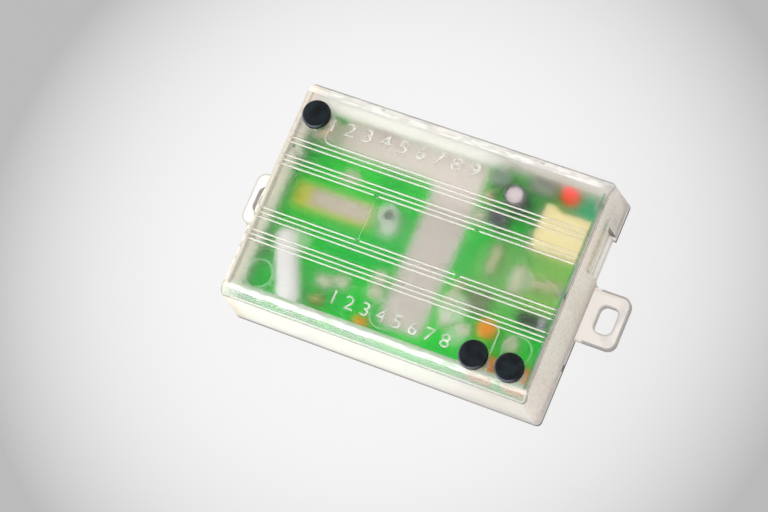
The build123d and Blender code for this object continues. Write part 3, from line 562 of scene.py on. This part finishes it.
metals = {
    "stainSpan": (0.2, 0.8), "rough": (0.35, 0.6), "rearSpan": (9.0, 18.0),
    "scratches": {"size": 0.3, "detail": 2.0}, "scratchDepth": 0.01, "scratchStrength": 0.4,
    "kinds": [
        # the ground plate's paler rear colour is painted light from the haze above its back
        (["ground_plate"], {"name": "tinned_ground_area", "colour": rgb(216, 205, 202),
                            "dull": rgb(198, 188, 185), "rear": rgb(250, 238, 236)}),
        (["patch_antenna"], {"name": "tinned_patch", "colour": rgb(216, 197, 194),
                             "dull": rgb(200, 183, 182)}),
        (["header_pins", "component_leads"], {"name": "bright_tin", "colour": rgb(214, 212, 208),
                                              "dull": rgb(184, 182, 178), "grain": 0.8, "metal": 0.6}),
        (["solder_joints"], {"name": "solder", "colour": rgb(200, 200, 198), "dull": rgb(168, 168, 168),
                             "grain": 0.6, "metal": 0.6}),
        (["capacitor_can"], {"name": "bare_aluminium", "colour": rgb(232, 218, 224),
                             "dull": rgb(216, 204, 210), "grain": 1.0}),
    ],
}


def tinnedFinish(name, colour, dull, grain=2.5, metal=0.1, rear=None):
    # soft tin with slow stains and fine scratches, and, where a rear colour is given, brighter towards the
    # back as painted light from the haze above it
    f = Finish(name)
    stain = f.noise(grain * 2)
    tone = f.mix(stain, colour, dull)
    # painted light: brighter towards the back
    if rear:
        tone = f.mix(f.axes()[1].between(*metals["rearSpan"]), tone, rear)
    bump = f.bump(f.noise(**metals["scratches"]), metals["scratchDepth"], metals["scratchStrength"])
    return f.done(f.shader(Base_Color=tone, Metallic=metal, Normal=bump,
                           Roughness=stain.between(*metals["stainSpan"], *metals["rough"])))


# Moulded, dipped and sleeved pieces: which nodes share a finish, its colour and how rough and even it is

moulded = {
    "slow": {"size": 3.0, "detail": 2.0}, "grain": {"size": 0.25, "rough": 0.6}, "grainSpan": (0.2, 0.8),
    "smoother": 0.06, "rougher": 0.08, "depth": 0.012, "strength": 0.6, "shine": 0.2,
    "kinds": [
        (["capacitor_sleeve"], {"name": "dark_shrunk_sleeve", "colour": rgb(70, 66, 84), "rough": 0.3}),
        (["sleeved_choke"], {"name": "white_shrink_sleeve", "colour": rgb(250, 244, 255), "variety": 0.06}),
        (["resistors"], {"name": "beige_lacquer", "colour": rgb(200, 192, 164), "rough": 0.35}),
        (["tantalum_capacitor"], {"name": "orange_dipped_epoxy", "colour": rgb(252, 150, 0), "rough": 0.3,
                                  "variety": 0.05}),
        (["comparator_ic"], {"name": "moulded_epoxy_comparator_ic", "colour": rgb(124, 132, 106)}),
        (["driver_transistor"], {"name": "moulded_epoxy_driver_transistor", "colour": rgb(138, 164, 146)}),
        (["switch_transistor"], {"name": "moulded_epoxy_switch_transistor", "colour": rgb(86, 84, 98)}),
        (["rectifier_diode"], {"name": "moulded_epoxy_rectifier_diode", "colour": rgb(170, 182, 172)}),
        (["adjuster_body_inner", "adjuster_body_outer"], {"name": "orange_adjuster_plastic",
                                                          "colour": rgb(255, 116, 10)}),
        (["adjuster_body_rear"], {"name": "grey_adjuster_plastic", "colour": rgb(206, 204, 194)}),
        (["adjuster_rotor_rear", "adjuster_rotor_inner", "adjuster_rotor_outer"],
         {"name": "pale_rotor_plastic", "colour": rgb(232, 214, 178)}),
    ],
}


def mouldedFinish(name, colour, rough=0.4, variety=0.12):
    # moulded plastic or epoxy: fine texture, slight change of tone
    f = Finish(name)
    fine = f.noise(**moulded["grain"])
    tone = f.mix(f.noise(**moulded["slow"]), shadeOf(colour, 1 - variety), shadeOf(colour, 1 + variety))
    span = (rough - moulded["smoother"], rough + moulded["rougher"])
    return f.done(f.shader(Base_Color=tone, Roughness=fine.between(*moulded["grainSpan"], *span),
                           Normal=f.bump(fine, moulded["depth"], moulded["strength"]),
                           Specular_IOR_Level=moulded["shine"]))


plugLook = {
    "dark": rgb(6, 7, 11), "pale": rgb(18, 27, 31),
    "slow": {"size": 2.4, "detail": 2.0}, "slowStep": (0.3, 0.7),
    # painted highlight: a greyer tone on the rim's front-left side, where a lamp's reflection falls
    "wornSpotsAndRimSheen": rgb(84, 88, 98), "sheenStarts": (0.15, 0.5), "sheenEnds": (0.97, 0.85), "sheenSide": (-0.55, -0.83),
    "sheenStep": (-0.1, 0.5), "sheenGain": 0.6, "sheenLeast": 0.5,
    "grain": {"size": 0.16, "rough": 0.65}, "grainSpan": (0.25, 0.75), "rough": (0.33, 0.46),
    "depth": 0.012, "strength": 0.5, "shine": 0.12,
}


def rubberFinish():
    # dark rubber, with a painted highlight: the rounded rim is greyer on its front-left side
    f = Finish("black_plug_rubber")
    look = plugLook
    nx, ny, nz = f.facing()
    slow = f.noise(**look["slow"])
    fine = f.noise(**look["grain"])
    tone = f.mix(slow.between(*look["slowStep"]), look["dark"], look["pale"])
    # painted highlight on the rim's front-left side
    side = (nx * look["sheenSide"][0] + ny * look["sheenSide"][1]).between(*look["sheenStep"])
    wornSpotsAndRimSheen = nz.between(*look["sheenStarts"]) * nz.between(*look["sheenEnds"]) * side
    tone = f.mix(wornSpotsAndRimSheen * (slow * look["sheenGain"] + look["sheenLeast"]), tone, look["wornSpotsAndRimSheen"])
    return f.done(f.shader(Base_Color=tone, Roughness=fine.between(*look["grainSpan"], *look["rough"]),
                           Normal=f.bump(fine, look["depth"], look["strength"]),
                           Specular_IOR_Level=look["shine"]))


lensLook = {
    # the lens's faint glow is painted light
    "low": rgb(238, 0, 0), "high": rgb(250, 6, 2), "lit": 0.5, "rough": 0.2, "bend": 1.5, "shine": 0.3,
    "grain": 0.5, "depth": 0.01, "strength": 0.3,
}


def lensFinish():
    # diffused red epoxy, a little brighter towards its dome, and glowing a little as painted light
    f = Finish("red_diffused_lens")
    look = lensLook
    low, high = boxOf("indicator_light")
    tone = f.mix(f.axes()[2].between(low[2], high[2]), look["low"], look["high"])
    bump = f.bump(f.noise(look["grain"]), look["depth"], look["strength"])
    return f.done(f.shader(Base_Color=tone, Roughness=look["rough"], IOR=look["bend"], Normal=bump,
                           Specular_IOR_Level=look["shine"], Emission_Color=tone,
                           Emission_Strength=look["lit"]))


diodeLook = {
    "ground": rgb(44, 44, 58), "shaded": 0.82, "slow": 1.8, "centre": (28.3, -6.7, 0),
    "band": rgb(214, 206, 232), "bandPlace": 2.2, "bandHalf": (0.53, 0.4),
    "rough": 0.35, "shine": 0.2, "grain": 0.4, "depth": 0.01, "strength": 0.4,
}


def bandedFinish():
    # dark body with one pale band near its end
    f = Finish("banded_dark_epoxy")
    look = diodeLook
    along = f.axes(f.placed(look["centre"]))[0]
    tone = f.mix(f.noise(look["slow"]), look["ground"], shadeOf(look["ground"], look["shaded"]))
    tone = f.mix(abs(along - look["bandPlace"]).between(*look["bandHalf"]), tone, look["band"])
    return f.done(f.shader(Base_Color=tone, Roughness=look["rough"], Specular_IOR_Level=look["shine"],
                           Normal=f.bump(f.noise(look["grain"]), look["depth"], look["strength"])))


chipLook = {
    "pale": rgb(228, 216, 206), "dull": rgb(200, 194, 182), "slow": 2.0, "rough": 0.4,
    "grain": 0.2, "depth": 0.01, "strength": 0.5,
}


def chipFinish():
    # pale ceramic with slow changes of tone
    f = Finish("pale_chip_ceramic")
    look = chipLook
    tone = f.mix(f.noise(look["slow"]), look["pale"], look["dull"])
    return f.done(f.shader(Base_Color=tone, Roughness=look["rough"],
                           Normal=f.bump(f.noise(look["grain"]), look["depth"], look["strength"])))


headerLook = {
    "cream": rgb(255, 234, 172), "paler": rgb(255, 244, 190), "slow": {"size": 3.0, "detail": 2.0},
    "mouth": rgb(216, 210, 198), "mouthSpan": (33.0, 33.8),
    "matt": 0.3, "mattSpan": (0.2, 0.8), "rough": (0.36, 0.5),
    "grain": 0.25, "depth": 0.01, "strength": 0.5, "shine": 0.2,
}


def headerFinish():
    # cream nylon, greyer at the open end in the window
    f = Finish("cream_nylon")
    look = headerLook
    tone = f.mix(f.noise(**look["slow"]), look["cream"], look["paler"])
    tone = f.mix(f.axes()[0].between(*look["mouthSpan"]), tone, look["mouth"])
    return f.done(f.shader(Base_Color=tone, Specular_IOR_Level=look["shine"],
                           Roughness=f.noise(look["matt"]).between(*look["mattSpan"], *look["rough"]),
                           Normal=f.bump(f.noise(look["grain"]), look["depth"], look["strength"])))


resonatorLook = {
    "pale": rgb(246, 248, 246), "dusky": rgb(176, 188, 178), "duskSide": (0.7, -0.5), "duskSpan": (-2.2, 2.2),
    "bore": rgb(92, 108, 94), "boreSquare": (2.9, 0.7),
    "rough": 0.5, "grain": 0.3, "depth": 0.01, "strength": 0.5, "shine": 0.2,
}


def resonatorFinish():
    # fired ceramic: silvered dark bore in the middle, dusky on one side, pale on the other
    f = Finish("fired_ceramic")
    look = resonatorLook
    x, y = f.axes()[:2]
    centre = sum(boxOf("resonator")) / 2
    bore = squareAway(x, y, centre).between(*look["boreSquare"])
    lean = (x - centre[0]) * look["duskSide"][0] + (y - centre[1]) * look["duskSide"][1]
    tone = f.mix(lean.between(*look["duskSpan"]), look["pale"], look["dusky"])
    return f.done(f.shader(Base_Color=f.mix(bore, tone, look["bore"]), Roughness=look["rough"],
                           Normal=f.bump(f.noise(look["grain"]), look["depth"], look["strength"]),
                           Specular_IOR_Level=look["shine"]))


discLook = {
    "orange": rgb(252, 150, 10), "brown": rgb(176, 148, 96), "brownSpan": (-13.0, -15.0),
    "pale": rgb(214, 190, 160), "paleSpan": (4.0, 8.0),
    "matt": 0.4, "mattSpan": (0.2, 0.8), "rough": (0.3, 0.45),
    "grain": 0.3, "depth": 0.012, "strength": 0.5, "shine": 0.2,
}


def discFinish():
    # dipped ceramic discs: orange at the front edge, browner and paler ones elsewhere
    f = Finish("orange_dipped_ceramic")
    look = discLook
    x, y = f.axes()[:2]
    front = f.mix(x.between(*look["brownSpan"]), look["orange"], look["brown"])
    tone = f.mix(y.between(*look["paleSpan"]), front, look["pale"])
    return f.done(f.shader(Base_Color=tone, Specular_IOR_Level=look["shine"],
                           Roughness=f.noise(look["matt"]).between(*look["mattSpan"], *look["rough"]),
                           Normal=f.bump(f.noise(look["grain"]), look["depth"], look["strength"])))


singles = {
    "cover": frostedCoverFinish, "base": frostedBaseFinish, "circuit_board": circuitBoardFinish,
    "resonator": resonatorFinish, "header_housing": headerFinish, "indicator_light": lensFinish,
    "disc_capacitors": discFinish, "protection_diode": bandedFinish, "chip_parts": chipFinish,
}
for name, makeFinish in singles.items():
    dress(name, makeFinish())
for makeFinish, kinds in ((tinnedFinish, metals["kinds"]), (mouldedFinish, moulded["kinds"])):
    for names, look in kinds:
        finish = makeFinish(**look)
        for name in names:
            dress(name, finish)
rubber = rubberFinish()
for name in ("rear", "inner", "outer"):
    dress("access_plug_" + name, rubber)
print("stage: finishes set")

# Raised marks: plain numbers as on a dial, in one row beside the rear plug and one beside the front pair

marks = {
    "rows": {"rear_numbers": ("1 2 3 4 5 6 7 8 9", (-28.2, 16.2), (7.2, 16.8)),
             "front_numbers": ("1 2 3 4 5 6 7 8", (-12.2, -19.9), (16.0, -20.7))},
    "tall": 3.1, "height": 0.2, "sunk": 0.05, "edge": 0.06, "edgeSteps": 2, "curveSteps": 3,
    "blur": 0.2, "cloud": {"size": 1.6, "detail": 2.0}, "frost": (0.3, 0.7, 0.2, 0.6), "scattered": 0.6,
    "grain": 0.3, "depth": 0.006, "strength": 0.5, "merge": 0.001, "sliver": 0.0001,
    "shadeSide": (0.6, -0.8), "shadeStep": (0.2, 0.6), "shadeShare": 0.5,
}


def raisedMarkFinish(name):
    # partly frosted plastic, with a shade on the sides turned to the front right
    f = Finish(name)
    bump = f.bump(f.noise(marks["grain"]), marks["depth"], marks["strength"])
    nx, ny = f.facing()[:2]
    shaded = (nx * marks["shadeSide"][0] + ny * marks["shadeSide"][1]).between(*marks["shadeStep"])
    milky = milkyPlastic(f, milkiness["plain"], milkiness["glow"], marks["scattered"], bump)
    frost = f.noise(**marks["cloud"]).between(*marks["frost"])
    face = f.blend(frost, clearPlastic(f, housing["tint"], marks["blur"], bump), milky)
    return f.done(f.blend(shaded * marks["shadeShare"], face, darkLine(f, outlines["colour"], bump)))


def edgesOnce(faces):
    # directed edges that belong to one face alone, which are the outline of a flat mesh
    directed = {(a, b) for face in faces for a, b in zip(face, face[1:] + face[:1])}
    return [(a, b) for a, b in directed if (b, a) not in directed]


def newPiece(name, points, faces, material):
    # a mesh from points in millimetres and faces, its doubles merged and its faces turned outwards
    mesh = bpy.data.meshes.new(name)
    mesh.from_pydata((points * mm).tolist(), [], faces)
    shape = bmesh.new()
    shape.from_mesh(mesh)
    bmesh.ops.remove_doubles(shape, verts=shape.verts, dist=marks["merge"] * mm)
    bmesh.ops.dissolve_degenerate(shape, edges=shape.edges, dist=marks["sliver"] * mm)
    bmesh.ops.recalc_face_normals(shape, faces=shape.faces)
    shape.to_mesh(mesh)
    shape.free()
    mesh.polygons.foreach_set("use_smooth", np.zeros(len(mesh.polygons), dtype=bool))
    mesh.materials.append(material)
    piece = bpy.data.objects.new(name, mesh)
    bpy.context.scene.collection.objects.link(piece)
    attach(piece, "housing")
    return piece


def flatText(words):
    # points and faces of words laid flat, in the font's own units
    curve = bpy.data.curves.new("words", "FONT")
    curve.body, curve.size, curve.resolution_u = words, 1.0, marks["curveSteps"]
    writer = bpy.data.objects.new("words", curve)
    bpy.context.scene.collection.objects.link(writer)
    mesh = bpy.data.meshes.new_from_object(writer.evaluated_get(bpy.context.evaluated_depsgraph_get()))
    bpy.data.objects.remove(writer)
    points = np.empty(len(mesh.vertices) * 3)
    mesh.vertices.foreach_get("co", points)
    return points.reshape(-1, 3), [list(face.vertices) for face in mesh.polygons]


def numberRow(name, numbers, start, end):
    # flat text stretched so that its row runs from start to end and each number is as tall as asked, then
    # given sides: its outline's edges carried straight up from just under the top to just over it
    points, faces = flatText(numbers)
    low, high = points.min(axis=0), points.max(axis=0)
    share = (points[:, :2] - low[:2]) / (high - low)[:2]
    x = start[0] + share[:, 0] * (end[0] - start[0])
    y = start[1] + share[:, 0] * (end[1] - start[1]) + share[:, 1] * marks["tall"]
    count = len(points)
    under = np.column_stack([x, y, np.full(count, housing["top"] - marks["sunk"])])
    over = under + (0, 0, marks["sunk"] + marks["height"])
    sides = [[a, b, b + count, a + count] for a, b in edgesOnce(faces)]
    solid = [face[::-1] for face in faces] + [[v + count for v in face] for face in faces] + sides
    piece = newPiece(name, np.concatenate([under, over]), solid, raisedMarkFinish(name + "_plastic"))
    bevel = piece.modifiers.new("rounded_edges", "BEVEL")
    bevel.width, bevel.segments, bevel.limit_method = marks["edge"] * mm, marks["edgeSteps"], "ANGLE"
    return piece


for name, row in marks["rows"].items():
    numberRow(name, *row)
print("stage: raised marks made")

# Room: a pale floor with a painted pool of light, its tone falling away from the middle of the view, a soft
# sky and two soft lamps

view = {
    "aim": (-8.216, -4.333, 9.0), "distance": 597.86, "azimuth": -31.808, "elevation": 67.92, "roll": 36.819,
    "lens": 128.2, "sensor": 36.0,
}
room = {
    "floorSize": 3000, "floorColour": rgb(236, 236, 236), "floorRough": 0.9, "centre": (-11.3, -2.4, 0),
    "reach": 60.0, "bright": 0.98, "fall": 0.0392, "least": 0.72, "gamma": 2.2, "own": 0.97, "gain": 0.954,
    "sky": 1.65, "flag": 0.04, "flagPlace": (-0.318, 0.198, 0.927), "flagEdge": (0.95, 0.985),
    "tint": (1.0, 0.995, 0.985, 1), "behind": (0.93, 0.93, 0.93, 1),
    "lamps": {"front_lamp": ((-200, -520, 190), 220, 1.2), "left_lamp": ((-520, -60, 330), 260, 1.2)},
    "lampTarget": (0, 0, 8),
}


def vignetteFinish():
    # plain grey under the object's light, and where the camera sees it, its own glow: a painted pool of light
    # falling away from the middle
    f = Finish("pale_floor")
    along, across = f.axes(f.placed(room["centre"], stretch=(room["reach"], room["reach"], 1)))[:2]
    square = along * along + across * across
    # painted pool of light: the tone falls away from the middle of the view
    tone = (room["bright"] - square * square * room["fall"]).most(room["least"]) ** room["gamma"]
    lit = f.shader(Base_Color=room["floorColour"], Roughness=room["floorRough"], Specular_IOR_Level=0.0)
    shown = f.mix(tone * room["gain"], black, white)
    own = f.shader(Base_Color=black, Specular_IOR_Level=0.0, Emission_Color=shown, Emission_Strength=1.0)
    path = f.node("ShaderNodeLightPath").socket.node
    seen = Wire(f, path.outputs["Is Camera Ray"])
    for kind in ("Is Transmission Ray", "Is Glossy Ray"):
        seen = seen.most(Wire(f, path.outputs[kind]))
    return f.done(f.blend(seen * room["own"], lit, own))


half = room["floorSize"] / 2 * mm
floorMesh = bpy.data.meshes.new("floor")
corners = [(-half, -half, 0), (half, -half, 0), (half, half, 0), (-half, half, 0)]
floorMesh.from_pydata(corners, [], [(0, 1, 2, 3)])
floorMesh.materials.append(vignetteFinish())
floor = bpy.data.objects.new("floor", floorMesh)
bpy.context.scene.collection.objects.link(floor)


class Sky(Finish):
    # the world's nodes, with the same shader maths as a finish
    def __init__(self, name):
        self.start(bpy.data.worlds.new(name), "ShaderNodeOutputWorld")


def softSky():
    # a light tent with one dim flag that keeps glare off the clear top, pale where the view passes the floor
    f = Sky("light_tent")
    direction = f.node("ShaderNodeTexCoord", output=0)
    values = [direction, room["flagPlace"]]
    near = f.node("ShaderNodeVectorMath", {"operation": "DOT_PRODUCT"}, values, output=1)
    tent = f.node("ShaderNodeBackground", None, [room["tint"], room["sky"]])
    flag = f.node("ShaderNodeBackground", None, [room["tint"], room["flag"]])
    light = f.blend(near.between(*room["flagEdge"]), tent, flag)
    behind = f.node("ShaderNodeBackground", None, [room["behind"], 1.0])
    return f.done(f.blend(f.node("ShaderNodeLightPath", output=0), light, behind))


bpy.context.scene.world = softSky()


def softLamp(name, place, size, power):
    # square soft light that shines from a place towards the object
    data = bpy.data.lights.new(name, "AREA")
    data.shape, data.size, data.energy = "SQUARE", size * mm, power
    lamp = bpy.data.objects.new(name, data)
    away = (Vector(place) - Vector(room["lampTarget"])).normalized()
    turn = away.to_track_quat("Z", "Y").to_matrix().to_4x4()
    lamp.matrix_world = Matrix.Translation(Vector(place) * mm) @ turn
    bpy.context.scene.collection.objects.link(lamp)


for name, lamp in room["lamps"].items():
    softLamp(name, *lamp)


def makeCamera():
    # looks along a direction given by azimuth and elevation, turned by a roll about it
    data = bpy.data.cameras.new("camera")
    data.lens, data.sensor_width = view["lens"], view["sensor"]
    azimuth, elevation, roll = (radians(view[key]) for key in ("azimuth", "elevation", "roll"))
    back = Vector((cos(elevation) * cos(azimuth), cos(elevation) * sin(azimuth), sin(elevation)))
    level = (Vector((0, 0, 1)) - Vector((0, 0, 1)).dot(back) * back).normalized()
    side = level.cross(back)
    up = cos(roll) * level + sin(roll) * side
    turn = Matrix((up.cross(back), up, back)).transposed().to_4x4()
    camera = bpy.data.objects.new("camera", data)
    camera.matrix_world = Matrix.Translation((Vector(view["aim"]) + back * view["distance"]) * mm) @ turn
    bpy.context.scene.collection.objects.link(camera)
    bpy.context.scene.camera = camera


makeCamera()
bpy.context.scene.view_settings.view_transform = "Standard"
print("stage: room, lamps and camera set")
